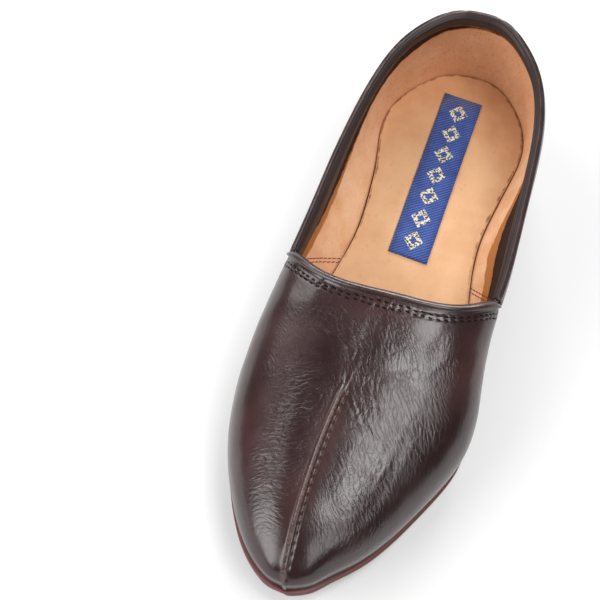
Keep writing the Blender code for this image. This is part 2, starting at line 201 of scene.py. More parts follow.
def addStitch(shape, spot, heading, normal, long, thick, flat=0.7):
    # one thread stitch as a small pill lying on the surface
    ahead = (heading - normal * heading.dot(normal)).normalized()
    aside = normal.cross(ahead)
    frameAxes = Matrix((ahead, aside, normal)).transposed().to_4x4()
    sizes = Matrix.Diagonal((long / 2 * mm, thick / 2 * mm, thick / 2 * flat * mm, 1))
    bmesh.ops.create_uvsphere(shape, u_segments=8, v_segments=6, radius=1,
                              matrix=Matrix.Translation(spot) @ frameAxes @ sizes)


# Node tools for the finishes

def newFinish(name, **sockets):
    finish = bpy.data.materials.new(name)
    finish.use_nodes = True
    shader = finish.node_tree.nodes["Principled BSDF"]
    for socket, value in sockets.items():
        shader.inputs[socket.replace("_", " ")].default_value = value
    return finish


def addNode(finish, kind, inputs=(), **settings):
    # a node with its settings, and its inputs set to numbers or linked from other nodes' outputs
    node = finish.node_tree.nodes.new("ShaderNode" + kind)
    for key, value in settings.items():
        setattr(node, key, value)
    for socket, value in dict(inputs).items():
        if isinstance(value, bpy.types.NodeSocket):
            finish.node_tree.links.new(value, node.inputs[socket])
        else:
            node.inputs[socket].default_value = value
    return node


def wire(finish, socket, output):
    finish.node_tree.links.new(output, finish.node_tree.nodes["Principled BSDF"].inputs[socket])


def place(finish, turn=0.0, scale=(1, 1, 1), shift=(0, 0, 0), sway=0.0):
    # object coordinates, swayed and moved, turned about the upright axis and then stretched
    coords = addNode(finish, "TexCoord").outputs["Object"]
    if sway:
        drift = addNode(finish, "TexNoise", {"Vector": coords, "Scale": 45.0, "Detail": 1.0}).outputs["Color"]
        coords = addNode(finish, "VectorMath", {0: drift, 1: (sway * mm,) * 3, 2: coords},
                         operation="MULTIPLY_ADD").outputs[0]
    moved = addNode(finish, "Mapping", {"Vector": coords, "Location": tuple(-value * mm for value in shift)})
    turned = addNode(finish, "Mapping", {"Vector": moved.outputs[0], "Rotation": (0, 0, math.radians(-turn))})
    return addNode(finish, "Mapping", {"Vector": turned.outputs[0], "Scale": scale}).outputs[0]


def painted(finish, name):
    return addNode(finish, "Attribute", attribute_name=name).outputs["Fac"]


def noiseAt(finish, where, size, detail=3.0, rough=0.5, bend=0.0):
    # cloudy values with blots of this many millimetres
    return addNode(finish, "TexNoise", {"Vector": where, "Scale": 1000 / size, "Detail": detail,
                                        "Roughness": rough, "Distortion": bend}).outputs["Fac"]


def ranged(finish, value, low, high, outLow=0.0, outHigh=1.0):
    return addNode(finish, "MapRange", {"Value": value, "From Min": low, "From Max": high,
                                        "To Min": outLow, "To Max": outHigh}).outputs[0]


def blended(finish, share, first, second):
    # two colours or colour outputs mixed by a share
    mix = addNode(finish, "Mix", data_type="RGBA")
    for socket, value in ((0, share), (6, first), (7, second)):
        if isinstance(value, bpy.types.NodeSocket):
            finish.node_tree.links.new(value, mix.inputs[socket])
        else:
            mix.inputs[socket].default_value = value if socket == 0 else (*value, 1)
    return mix.outputs[2]


def figure(finish, operation, *values):
    node = addNode(finish, "Math", operation=operation)
    for i, value in enumerate(values):
        if isinstance(value, bpy.types.NodeSocket):
            finish.node_tree.links.new(value, node.inputs[i])
        else:
            node.inputs[i].default_value = value
    return node.outputs[0]


def bumped(finish, height, deep, under=None):
    # relief of this many millimetres, on top of another one
    inputs = {"Height": height, "Distance": deep * mm, "Strength": 1.0}
    if under:
        inputs["Normal"] = under
    return addNode(finish, "Bump", inputs).outputs[0]


def wrinkled(finish, turn, long, short, wide=0.6):
    # long rounded pillows between thin branching valleys: 0 in a valley, 1 on a pillow
    where = place(finish, turn, (1000 / long, 1000 / short, 1000 / long), sway=12)
    drift = addNode(finish, "TexNoise", {"Vector": where, "Scale": 0.9, "Detail": 3.0}).outputs["Color"]
    bent = addNode(finish, "VectorMath", {0: drift, 1: (0.5, 0.5, 0.5), 2: where}, operation="MULTIPLY_ADD")
    away = addNode(finish, "TexVoronoi", {"Vector": bent.outputs[0], "Scale": 1.0, "Randomness": 1.0},
                   feature="DISTANCE_TO_EDGE").outputs["Distance"]
    return figure(finish, "POWER", ranged(finish, away, 0.0, wide), 0.7)


# Leather of the outside

leather = {"dark": (0.018, 0.0066, 0.0072), "light": (0.042, 0.015, 0.0145), "seamTone": (0.15, 0.080, 0.062),
           "rough": 0.30, "coat": 0.32, "coatRough": 0.19, "grain": 0.01,
           # length, width and depth of the wrinkles' pillows, from broad to fine
           "wrinkles": ((5.0, 1.9, 0.25), (2.3, 0.85, 0.06)),
           # their directions on the ridge, beside the throat and on the inner flank
           "directions": (-59, -34, 14)}


def makeLeather():
    finish = newFinish("brownLeather", Coat_Weight=leather["coat"], Coat_Roughness=leather["coatRough"])
    where = place(finish)
    patches = noiseAt(finish, where, 24)
    warmth = figure(finish, "ADD", ranged(finish, patches, 0.35, 0.7, 0.0, 0.5), painted(finish, "warm"))
    skin = blended(finish, warmth, leather["dark"], leather["light"])
    specks = ranged(finish, noiseAt(finish, where, 1.2, 4.0, 0.7), 0.45, 0.7)
    worn = figure(finish, "MULTIPLY", painted(finish, "seamEdge"), specks)
    wire(finish, "Base Color", blended(finish, worn, skin, leather["seamTone"]))
    rough = ranged(finish, patches, 0.3, 0.7, leather["rough"] - 0.04, leather["rough"] + 0.06)
    wire(finish, "Roughness", figure(finish, "MULTIPLY_ADD", painted(finish, "seamEdge"), 0.3, rough))
    patchy = ranged(finish, noiseAt(finish, where, 7, 2.0), 0.35, 0.6, 0.5, 1.0)
    strength = figure(finish, "MULTIPLY", painted(finish, "crinkle"), patchy)
    relief = None
    for long, short, deep in leather["wrinkles"]:
        ridge, throatSide, flank = (wrinkled(finish, turn, long, short) for turn in leather["directions"])
        slanted, crossed = painted(finish, "slanted"), painted(finish, "crossed")
        main = addNode(finish, "Mix", {0: slanted, 2: ridge, 3: throatSide}, data_type="FLOAT").outputs[0]
        main = addNode(finish, "Mix", {0: crossed, 2: main, 3: flank}, data_type="FLOAT").outputs[0]
        relief = bumped(finish, figure(finish, "MULTIPLY", main, strength), deep, relief)
    wire(finish, "Normal", bumped(finish, noiseAt(finish, where, 0.5, 3.0), leather["grain"], relief))
    return finish


# Leather and suede of the inside

# line is the dark edge round the sock: partly its own dark colour, partly painted shade in the joint with the
# lining
inside = {"lining": (0.84, 0.53, 0.325), "liningDark": (0.74, 0.38, 0.19), "sock": (0.76, 0.455, 0.25),
          "sockDark": (0.50, 0.23, 0.10), "facing": (0.016, 0.0056, 0.0052), "edge": (0.42, 0.160, 0.045),
          "line": (0.27, 0.11, 0.045), "spots": (0.42, 0.185, 0.085), "heelLining": (0.48, 0.20, 0.088)}


def makeLining():
    finish = newFinish("liningLeather", Roughness=0.8, Specular_IOR_Level=0.25)
    where = place(finish)
    patches = noiseAt(finish, where, 12, 5.0)
    skin = blended(finish, ranged(finish, patches, 0.35, 0.75), inside["lining"], inside["liningDark"])
    fuzz = noiseAt(finish, where, 1.1, 4.0, 0.65)
    heelShare = painted(finish, "counter")
    spotted = ranged(finish, heelShare, 0, 1, 0.22, 0.65)
    spots = figure(finish, "MULTIPLY", ranged(finish, fuzz, 0.52, 0.68), spotted)
    skin = blended(finish, spots, skin, inside["spots"])
    skin = blended(finish, figure(finish, "MULTIPLY", heelShare, 0.5), skin, inside["heelLining"])
    # the dark facing runs down from the collar, with an uneven raw strip under it
    ragged = ranged(finish, noiseAt(finish, where, 5, 4.0, 0.6), 0.2, 0.8, -0.9, 0.9)
    edge = figure(finish, "ADD", painted(finish, "facingEdge"), ragged)
    strip = ranged(finish, figure(finish, "ADD", edge, painted(finish, "rawStrip")), 0.0, 0.7)
    skin = blended(finish, strip, skin, inside["edge"])
    dark = ranged(finish, edge, -0.1, 0.25)
    wire(finish, "Base Color", blended(finish, dark, skin, inside["facing"]))
    wire(finish, "Roughness", ranged(finish, dark, 0, 1, 0.85, 0.7))
    wire(finish, "Normal", bumped(finish, noiseAt(finish, where, 0.8, 4.0, 0.65), 0.16))
    return finish


def makeSock():
    finish = newFinish("sockLeather", Roughness=0.62, Specular_IOR_Level=0.35)
    where = place(finish)
    patches = noiseAt(finish, where, 15, 5.0)
    heelShare = painted(finish, "counter")
    tone = figure(finish, "MULTIPLY_ADD", heelShare, 0.55, ranged(finish, patches, 0.4, 0.85, 0.0, 0.5))
    skin = blended(finish, tone, inside["sock"], inside["sockDark"])
    spots = ranged(finish, noiseAt(finish, where, 2.2, 4.0, 0.6), 0.6, 0.74, 0.0, 0.35)
    skin = blended(finish, spots, skin, inside["sockDark"])
    # a dark line round the sock's edge, partly the edge's own colour and partly painted shade in the joint
    # between sock and lining
    uneven = ranged(finish, noiseAt(finish, where, 4, 3.0), 0.3, 0.7, -0.35, 0.35)
    rimLineAndShade = ranged(finish, figure(finish, "ADD", painted(finish, "edgeGap"), uneven), 0.15, 0.5, 0.85, 0.0)
    rimLineAndShade = figure(finish, "MULTIPLY", rimLineAndShade, painted(finish, "edgeShare"))
    wire(finish, "Base Color", blended(finish, rimLineAndShade, skin, inside["line"]))
    wire(finish, "Normal", bumped(finish, noiseAt(finish, where, 0.6, 4.0, 0.6), 0.05))
    return finish


# Leather of the two bindings

binding = {"dark": (0.022, 0.011, 0.0105), "light": (0.050, 0.027, 0.024), "worn": (0.16, 0.12, 0.11),
           "rough": 0.3, "facingRough": 0.8}


def makeBindingLeather():
    finish = newFinish("bindingLeather", Coat_Weight=0.2, Coat_Roughness=0.2)
    where = place(finish)
    patches = noiseAt(finish, where, 9, 3.0)
    skin = blended(finish, ranged(finish, patches, 0.35, 0.7), binding["dark"], binding["light"])
    scratches = ranged(finish, noiseAt(finish, place(finish, 35, (1, 0.3, 1)), 1.4, 4.0, 0.7), 0.6, 0.68)
    worn = figure(finish, "MULTIPLY", scratches, painted(finish, "wear"))
    skin = blended(finish, worn, skin, binding["worn"])
    facingShare = painted(finish, "facing")
    wire(finish, "Base Color", blended(finish, facingShare, skin, inside["facing"]))
    wire(finish, "Roughness", ranged(finish, facingShare, 0, 1, binding["rough"], binding["facingRough"]))
    ripple = bumped(finish, wrinkled(finish, 0, 3, 1.6), 0.05)
    wire(finish, "Normal", bumped(finish, noiseAt(finish, where, 0.5, 3.0), 0.02, ripple))
    return finish


# The sole's painted leather, the rubber heel, the thread and the tape

# the lighter top-edge colour is a painted highlight along the sole's lip, not the paint's own colour
sole = {"paint": (0.082, 0.017, 0.017), "paintDark": (0.045, 0.011, 0.011), "topEdgeHighlight": (0.125, 0.038, 0.034),
        "scuff": (0.15, 0.075, 0.055), "heel": (0.040, 0.013, 0.013),
        "heelDust": (0.075, 0.028, 0.024)}


def makeSoleFinish():
    finish = newFinish("paintedSole", Roughness=0.5)
    where = place(finish)
    patches = noiseAt(finish, where, 14, 5.0)
    skin = blended(finish, ranged(finish, patches, 0.35, 0.7), sole["paint"], sole["paintDark"])
    drawn = noiseAt(finish, place(finish, 20, (1, 0.25, 1)), 3, 5.0, 0.65)
    drawn = ranged(finish, drawn, 0.55, 0.7, 0.0, 0.6)
    scuffs = figure(finish, "MULTIPLY", drawn, painted(finish, "beneath"))
    skin = blended(finish, scuffs, skin, sole["scuff"])
    # the top edge of the sole's side is painted lighter: a painted highlight along its lip
    edge = ranged(finish, figure(finish, "ADD", painted(finish, "height"),
                                 ranged(finish, patches, 0, 1, -0.3, 0.3)), 4.0, 4.4)
    wire(finish, "Base Color", blended(finish, edge, skin, sole["topEdgeHighlight"]))
    wire(finish, "Roughness", ranged(finish, patches, 0.3, 0.7, 0.42, 0.6))
    layers = bumped(finish, noiseAt(finish, place(finish, 0, (0.15, 0.15, 1)), 1.2, 3.0), 0.12)
    wire(finish, "Normal", bumped(finish, noiseAt(finish, where, 0.8, 4.0, 0.6), 0.06, layers))
    return finish


def makeHeelFinish():
    finish = newFinish("heelRubber", Roughness=0.55)
    where = place(finish)
    patches = noiseAt(finish, where, 8, 5.0)
    dusty = ranged(finish, patches, 0.35, 0.75)
    wire(finish, "Base Color", blended(finish, dusty, sole["heel"], sole["heelDust"]))
    studs = addNode(finish, "TexVoronoi", {"Vector": where, "Scale": 420.0}, feature="F1").outputs["Distance"]
    uneven = bumped(finish, patches, 0.1)
    wire(finish, "Normal", bumped(finish, ranged(finish, studs, 0.2, 0.5), 0.12, uneven))
    return finish


def makeThread(name, light, dark):
    finish = newFinish(name, Roughness=0.75, Specular_IOR_Level=0.15)
    where = place(finish)
    twist = place(finish, 30)
    ply = addNode(finish, "TexWave", {"Vector": twist, "Scale": 900.0, "Distortion": 2.0}).outputs["Fac"]
    wire(finish, "Base Color", blended(finish, noiseAt(finish, where, 2, 3.0), light, dark))
    wire(finish, "Normal", bumped(finish, ply, 0.05))
    return finish


tape = {"middle": (4.6, 77.9), "turn": 2.9, "blue": (0.010, 0.034, 0.21), "pale": (0.065, 0.17, 0.56),
        "silver": (0.80, 0.77, 0.68), "rib": 1.25, "pick": 1.15, "lean": 37, "lozenge": 12.2,
        "motifLong": 42.0, "motifHalf": 5.4}


def makeTape():
    finish = newFinish("wovenTape", Roughness=0.6, Sheen_Weight=0.2)
    middle = (tape["middle"][0], tape["middle"][1], 0)
    straight = place(finish, -tape["turn"], (1000, 1000, 1000), middle)   # millimetres along the tape
    parts = addNode(finish, "SeparateXYZ", {0: straight}).outputs
    # twill ribs lean across the tape, each one a row of short floats
    leaning = place(finish, tape["lean"] - tape["turn"], (1000, 1000, 1000), middle)
    lean = addNode(finish, "SeparateXYZ", {0: leaning}).outputs
    wave = figure(finish, "SINE", figure(finish, "MULTIPLY", lean["Y"], 2 * math.pi / tape["rib"]))
    rowNumber = figure(finish, "FLOOR", figure(finish, "MULTIPLY", lean["Y"], 1 / tape["rib"]))
    along = figure(finish, "MULTIPLY_ADD", rowNumber, 0.37 * tape["pick"], lean["X"])
    picks = figure(finish, "SINE", figure(finish, "MULTIPLY", along, 2 * math.pi / tape["pick"]))
    weave = figure(finish, "MULTIPLY_ADD", picks, 0.4, wave)
    cloudy = ranged(finish, noiseAt(finish, place(finish), 6, 4.0), 0.3, 0.7, -0.5, 0.5)
    lit = ranged(finish, figure(finish, "ADD", weave, cloudy), -0.5, 1.5)
    ground = blended(finish, lit, tape["blue"], tape["pale"])
    # a plain row of lozenges in silver thread
    fromEnd = figure(finish, "ADD", parts["Y"], tape["lozenge"] * 20)
    placeInRow = figure(finish, "PINGPONG", fromEnd, tape["lozenge"] / 2)
    alongShare = figure(finish, "DIVIDE", placeInRow, tape["lozenge"] * 0.5)
    acrossShare = figure(finish, "DIVIDE", figure(finish, "ABSOLUTE", parts["X"]), tape["motifHalf"])
    spread = figure(finish, "ADD", alongShare, acrossShare)
    outside = ranged(finish, spread, 0.84, 0.88, 1.0, 0.0)
    hollow = ranged(finish, spread, 0.32, 0.36)
    fromMiddle = figure(finish, "ABSOLUTE", parts["Y"])
    inLength = ranged(finish, fromMiddle, tape["motifLong"], tape["motifLong"] + 0.2, 1.0, 0.0)
    motif = figure(finish, "MULTIPLY", figure(finish, "MULTIPLY", outside, hollow), inLength)
    flecks = ranged(finish, noiseAt(finish, place(finish), 0.8, 1.0, 0.5), 0.44, 0.54)
    silver = blended(finish, flecks, (0.03, 0.03, 0.04), tape["silver"])
    wire(finish, "Base Color", blended(finish, motif, ground, silver))
    wire(finish, "Normal", bumped(finish, weave, 0.10))
    return finish


print("finishes")
brownLeather = makeLeather()
liningLeather = makeLining()
sockLeather = makeSock()
bindingLeather = makeBindingLeather()
paintedSole = makeSoleFinish()
heelRubber = makeHeelFinish()
# near-black throat thread: the thread's own dark colour, with the shade of its sunk stitch holes painted in
darkThreadAndHoleShade = makeThread("darkThreadAndHoleShade", (0.007, 0.004, 0.0035), (0.003, 0.002, 0.002))
seamThread = makeThread("seamThread", (0.085, 0.045, 0.034), (0.025, 0.012, 0.010))
rustThread = makeThread("rustThread", (0.30, 0.070, 0.035), (0.16, 0.036, 0.020))
wovenTape = makeTape()


# The collar's edge, walked along the sharp outer edge of the upper

collarMiddle = Vector((0.003, 0.065))


def walkCollar():
    shape = copyNode("upper")
    links = {}
    for edge in shape.edges:
        if edge.calc_face_angle(0) > 0.9 and min(vert.co.z for vert in edge.verts) > 0.03:
            for vert in edge.verts:
                links.setdefault(vert, []).append(edge.other_vert(vert))
    path = [max(links, key=lambda vert: vert.co.y)]
    path.append(links[path[0]][0])
    while len(path) < 200:
        onward = [vert for vert in links[path[-1]] if vert not in path[1:] and vert is not path[-2]]
        best = max(onward, key=lambda vert: (vert.co.xy - collarMiddle).length) if onward else path[0]
        if best is path[0]:
            break
        path.append(best)
    line = np.array([vert.co for vert in path])
    shape.free()
    if line[1, 0] < line[-1, 0]:
        line = np.vstack([line[:1], line[:0:-1]])
    return line


collar = walkCollar()    # from the heel by the outer side and the throat, round to the heel
corners = np.where(collar[:, 1] < 0.0003)[0]
throatLine = collar[corners[0]:corners[-1] + 1]
toplineLine = np.vstack([collar[corners[-1]:], collar[:corners[0] + 1]])


# The upper

print("upper")
# the vamp's limits, and a core inside the shoe, seen from which the outside faces away
upper = {"vampEnd": 6, "topFrom": 20, "coreShare": 0.15, "coreEnds": (-110, 112), "coreHigh": 25}

# main creases, each a path in plan with its width and depth
creases = [
    # the long double crease on the ridge
    (((0, -60), (2.5, -65.5), (5.5, -70.5), (10, -74.5), (14, -78)), 0.8, 0.17),
    (((-2, -64), (1, -68), (5, -72)), 0.7, 0.12),
    # long creases down the highlight
    (((6, -53), (8, -60), (11, -65), (14, -72)), 0.7, 0.10),
    (((11.5, -55), (16, -61), (20, -65)), 0.7, 0.08),
    (((14, -72), (15, -80), (14, -88)), 0.7, 0.08),
    (((18, -70), (19.5, -80), (18.5, -90), (16, -98)), 0.8, 0.09),
    # the fold under the throat, toward the outer side
    (((32, -21), (29, -31), (26, -38), (21, -43), (15, -47), (10, -47)), 3.0, 0.16),
    (((45, -24), (37, -34), (32, -41), (29, -46)), 1.4, 0.07),
    (((44, -34), (42, -41), (41, -49)), 1.2, 0.06),
    # the line that ends the wrinkled field on the outer side of the toe
    (((26, -68), (25, -80), (22, -94), (19, -105), (14, -114), (7, -122)), 1.8, 0.13),
    (((4, -93), (10, -92), (15, -89)), 0.8, 0.09),
    (((6, -101), (12, -99), (17, -96)), 0.8, 0.09),
    # beside the throat, on the inner side
    (((-21, -29), (-14, -33), (-8, -40)), 0.9, 0.13),
    (((-19, -33), (-12, -38), (-5, -46)), 0.9, 0.11),
    (((-24, -36), (-17, -40), (-11, -46)), 0.9, 0.10),
    # ripples down the inner flank
    (((-28, -57), (-20, -60), (-13, -63)), 0.8, 0.12),
    (((-30, -68), (-22, -70), (-15, -72)), 0.8, 0.12),
    (((-30, -81), (-22, -82), (-17, -83)), 0.8, 0.11),
    (((-30, -95), (-23, -94), (-18, -94)), 0.8, 0.11),
    (((-28, -109), (-22, -107), (-18, -107)), 0.8, 0.10),
]

# soft rises and hollows of the vamp: plan centre, radii, turn and height
swells = [
    ((22, -31), (8, 10), 10, 0.35),
    ((14, -60), (7, 14), 10, 0.30),
    ((8, -98), (7, 20), 8, 0.45),
    ((-20, -92), (5, 28), 2, 0.35),
    ((-2, -42), (7, 10), 0, -0.35),
    ((33, -62), (6, 18), 8, -0.25),
    ((-30, -60), (5, 16), 0, -0.25),
]

# where the fine wrinkles are strong, and where they slant or cross: plan centre, radii, turn, strength
crinkleFields = [
    ((14, -45), (17, 24), 20, 1.0), ((13, -82), (14, 27), 8, 1.0), ((9, -112), (13, 15), 10, 0.95),
    ((-14, -34), (17, 12), -35, 0.9), ((-20, -62), (13, 17), 0, 0.9), ((-23, -94), (11, 21), 0, 1.0),
    ((-20, -119), (8, 11), 0, 0.9), ((36, -36), (9, 11), 30, 0.6), ((34, -66), (8, 17), 0, 0.55),
    ((-36, -50), (8, 22), 0, 0.4),
]
slantFields = [((-14, -36), (15, 13), -35, 1.3)]
crossFields = [((-22, -64), (11, 18), 0, 1.6), ((-23, -94), (10, 22), 0, 1.6), ((-20, -120), (8, 14), 0, 1.5)]
warmFields = [((2, -22), (16, 7), -5, 0.8), ((44, -34), (8, 16), 0, 0.7), ((-38, -84), (8, 22), 0, 0.7),
              ((-6, -80), (5, 30), 0, 0.6), ((-12, -110), (5, 20), 0, 0.6), ((-34, -40), (8, 14), 0, 0.4)]
# the toe seam in plan, an arc that bows toward the inner side: from where to where along, where and
# how far across it reaches furthest, how much less at its start, and the stitches on its outer side
toeSeam = {"start": -59, "end": -139, "furthest": -118, "across": -9.4, "swing": 4.6,
           "pitch": 3.9, "stitchSide": 1.7, "stitch": 2.4, "thick": 0.6}


def seamAcross(along):
    along = np.clip(along, toeSeam["end"], toeSeam["start"])
    share = (along - toeSeam["furthest"]) / (toeSeam["start"] - toeSeam["furthest"])
    return toeSeam["across"] + toeSeam["swing"] * share ** 2


def facesOut(face):
    # whether a face of the upper belongs to its outside, not to its lining
    centre = face.calc_center_median()
    low, high = (end * mm for end in upper["coreEnds"])
    core = Vector((centre.x * upper["coreShare"], max(low, min(high, centre.y)), upper["coreHigh"] * mm))
    return face.normal.dot(centre - core) > 0


def field(points, spots):
    # sum of soft oval spots at plan points in millimetres
    total = np.zeros(len(points))
    for middle, radii, turn, strength in spots:
        angle = math.radians(turn)
        x, y = points[:, 0] - middle[0], points[:, 1] - middle[1]
        across = x * math.cos(angle) + y * math.sin(angle)
        ahead = y * math.cos(angle) - x * math.sin(angle)
        total += strength * np.exp(-(across / radii[0]) ** 2 - (ahead / radii[1]) ** 2)
    return total


def dropOn(tree, line):
    # plan points in millimetres laid on the outside of the upper, in metres
    laid = []
    for x, y in line:
        hit = tree.ray_cast(Vector((x * mm, y * mm, 0.2)), Vector((0, 0, -1)))[0]
        if hit:
            laid.append(hit)
    return np.array(laid)


def pressed(points, path, wide, deep):
    # a soft trough along a path with a low ridge on each side, fading toward both ends
    move = np.zeros(len(points))
    reach = 4 * wide * mm
    near = np.all((points > path.min(axis=0) - reach) & (points < path.max(axis=0) + reach), axis=1)
    gap, run, spot = alongPath(path, points[near])
    share = gap / (wide * mm)
    fade = np.sqrt(np.clip(np.sin(np.pi * run / max(run.max(), 1e-6)), 0, 1))
    move[near] = deep * fade * (0.45 * bell(share, 1.9, 0.8) - bell(share, 0, 1))
    return move


def makeUpper():
    shape = copyNode("upper")
    keepSharp(shape, 0.9, 0.9, lambda edge: edge.verts[0].co.z > 0.03 or edge.verts[0].co.z < 0.015)
    shape = rounded(shape, 2)
    bluntToe(shape)
    for face in shape.faces:
        face.material_index = 0 if facesOut(face) else 1

    def onTop(face):
        middle = face.calc_center_median() / mm
        return face.material_index == 0 and middle.y < upper["vampEnd"] and middle.z > upper["topFrom"]

    refine(shape, onTop, longOnly=True)
    refine(shape, onTop)
    tree = BVHTree.FromBMesh(shape)
    piece = makePiece("upper", shape, [brownLeather, liningLeather], "upper")
    triangles = sum(len(face.vertices) - 2 for face in piece.data.polygons)
    print("upper triangles", triangles)
    dressUpper(piece, tree)
    return piece, tree


def dressUpper(piece, tree):
    points = readPoints(piece)
    plan = points / mm
    normals = readPoints(piece, "vertex_normals", "vector")
    core = points.copy()
    core[:, 0] *= upper["coreShare"]
    core[:, 1] = np.clip(core[:, 1], *(end * mm for end in upper["coreEnds"]))
    core[:, 2] = upper["coreHigh"] * mm
    outer = ((normals * (points - core)).sum(axis=1) > 0).astype(float)
    vamp = outer * step(plan[:, 1], 5, 1) * step(plan[:, 2], 20, 25)
    # creases and swells
    move = vamp * field(plan, swells) * step(alongPath(throatLine, points)[0] / mm, 3, 9)
    for corners, wide, deep in creases:
        path = dropOn(tree, softLine(corners))
        move += vamp * pressed(points, path, wide, deep)
    # small rolling unevenness of the leather
    for i in np.where(vamp > 0.05)[0]:
        move[i] += 0.16 * vamp[i] * noise.noise(Vector(points[i]) * 110)
    # the throat: a groove under the binding, two sunk rows and puffed leather between the stitches
    gap, run, spot = alongPath(throatLine, points)
    gap = gap / mm
    run = run / mm
    beat = 0.5 - 0.5 * np.cos(2 * np.pi * run / throat["pitch"])
    rows = bell(gap, throat["firstRow"], 0.34) + bell(gap, throat["secondRow"], 0.34)
    puff = bell(gap, (throat["firstRow"] + throat["secondRow"]) / 2, 0.75)
    lip = bell(gap, throat["lip"], 0.45)
    move += vamp * (0.10 * puff * beat - 0.34 * rows * (1 - 0.4 * beat) - 0.34 * lip)
    # the toe seam: a bumpy ridge, a drop on its outer side and sunk stitch holes
    side = plan[:, 0] - seamAcross(plan[:, 1])
    onSeam = vamp * step(plan[:, 1], toeSeam["start"], toeSeam["start"] - 3)
    bumps = 1 + 0.35 * np.sin(plan[:, 1] * 2.9) + 0.3 * np.sin(plan[:, 1] * 1.37 + 1)
    holes = bell((plan[:, 1] + 200) % toeSeam["pitch"], toeSeam["pitch"] / 2, 0.7)
    low = 0.42 + 0.05 * step(plan[:, 1], -76, -60)
    move += onSeam * (0.12 * bell(side, 0, 0.9) * bumps - 0.22 * bell(side, 2.1, 0.6)
                      - 0.35 * holes * bell(side, 1.9, 0.6) - 0.30 * bell(side, 0.5, 5.0))
    move -= vamp * step(plan[:, 1], -52, -58) * low * bell(side, 0, 1.1)
    push(piece, move)
    paint(piece, "crinkle", np.clip(field(plan, crinkleFields), 0.18, 1) * outer
          * (1 - 0.85 * onSeam * bell(side, 1.2, 3.6)))
    paint(piece, "slanted", np.clip(field(plan, slantFields), 0, 1))
    paint(piece, "crossed", np.clip(field(plan, crossFields), 0, 1))
    paint(piece, "warm", np.clip(field(plan, warmFields), 0, 1) * outer)
    paint(piece, "seamEdge", onSeam * np.clip(bell(side, -0.3, 1.2) + 0.5 * bell(side, 1.6, 0.8), 0, 1))
    paintLining(piece, points)


# how deep the dark facing goes below the collar's edge, and the raw strip under it, at places along
# a topline of this length
facing = {"length": 330,
          "places": (0, 22, 40, 62, 90, 125, 150, 165, 180, 200, 225, 260, 330),
          "deep": (24, 24, 25, 24, 20, 12, 12, 12, 15, 18, 18.5, 17, 10),
          "strip": (6.5, 6.5, 7, 4, 2, 1, 1, 1.5, 1, 1, 0.5, 1.5, 7)}


def paintLining(piece, points):
    gap, run, spot = alongPath(toplineLine, points)
    total = run.max()
    places = np.array(facing["places"]) / facing["length"] * total
    deep = np.interp(total - run, places, facing["deep"])
    strip = np.interp(total - run, places, facing["strip"])
    paint(piece, "facingEdge", deep - gap / mm)
    paint(piece, "rawStrip", strip)
    paint(piece, "counter", step(points[:, 1] / mm, 78, 128))


# places on the vamp, measured from the collar's edge
throat = {"lip": 2.9, "firstRow": 4.2, "secondRow": 6.0, "pitch": 3.2, "stitch": 2.5, "thick": 0.95,
          "slant": 0.25}

upperPiece, upperTree = makeUpper()


# Bindings, insole, sole, heel and tape

def dress(node, levels, finish, sharp=None, crisp=0.9):
    shape = copyNode(node)
    keepSharp(shape, 0.7, crisp)
    shape = rounded(shape, levels)
    bluntToe(shape)
    return makePiece(node, shape, [finish], node, sharp)


print("bindings")
topline = {"outerBead": 1.1, "groove": 0.4, "innerBead": -0.3, "facingStart": -0.9, "high": 0.36,
           "nicks": [((-21, 118), (5, 5), 0, 1.0), ((-27, 110), (4, 5), 0, 0.8),
                     ((-40, 30), (5, 14), 0, 0.4)]}


def dressTopline():
    # two thin beads side by side, and a flat facing that starts inside them
    piece = dress("topline_binding", 3, bindingLeather, crisp=0.3)
    points = readPoints(piece)
    gap, run, spot = alongPath(toplineLine, points)
    outward = spot[:, :2] - np.array(collarMiddle)
    ahead = np.gradient(toplineLine[:, :2], axis=0)
    marks = marksOf(toplineLine)
    way = np.stack([np.interp(run, marks, ahead[:, i]) for i in range(2)], axis=1)
    side = np.stack([way[:, 1], -way[:, 0]], axis=1)
    side *= np.sign((side * outward).sum(axis=1))[:, None]
    side /= np.linalg.norm(side, axis=1)[:, None]
    over = ((points - spot)[:, :2] * side).sum(axis=1) / mm
    high = (points - spot)[:, 2] / mm
    top = step(high, -0.6, 0.5)
    tall = topline["high"]
    beads = tall * (bell(over, topline["outerBead"], 0.45) + bell(over, topline["innerBead"], 0.42))
    groove = -1.4 * tall * bell(over, topline["groove"], 0.28)
    flat = topline["facingStart"]
    sunk = -0.5 * step(over, flat + 0.3, flat - 0.2) * step(over, -3.4, -2.6)
    push(piece, top * (beads + groove + sunk))
    paint(piece, "facing", step(over, flat + 0.3, flat - 0.1))
    paint(piece, "wear", np.clip(0.12 + field(points / mm, topline["nicks"]), 0, 1))


def dressThroat():
    piece = dress("throat_binding", 2, bindingLeather, crisp=0.0)
    points = readPoints(piece)
    move = np.array([0.10 * noise.noise(Vector(point) * 160) for point in points])
    push(piece, move)
    paint(piece, "facing", np.zeros(len(points)))
    paint(piece, "wear", np.full(len(points), 0.15))


def outlineOf(node, flat=0.95):
    # the edge round the level top of a solid, as pairs of points in no order
    shape = copyNode(node)
    pairs = []
    for edge in shape.edges:
        heights = sorted(face.normal.z for face in edge.link_faces)
        if len(heights) == 2 and heights[1] > flat and heights[0] < 0.9 and edge.calc_face_angle(0) > 0.6:
            pairs.append([np.array(vert.co) for vert in edge.verts])
    shape.free()
    return pairs


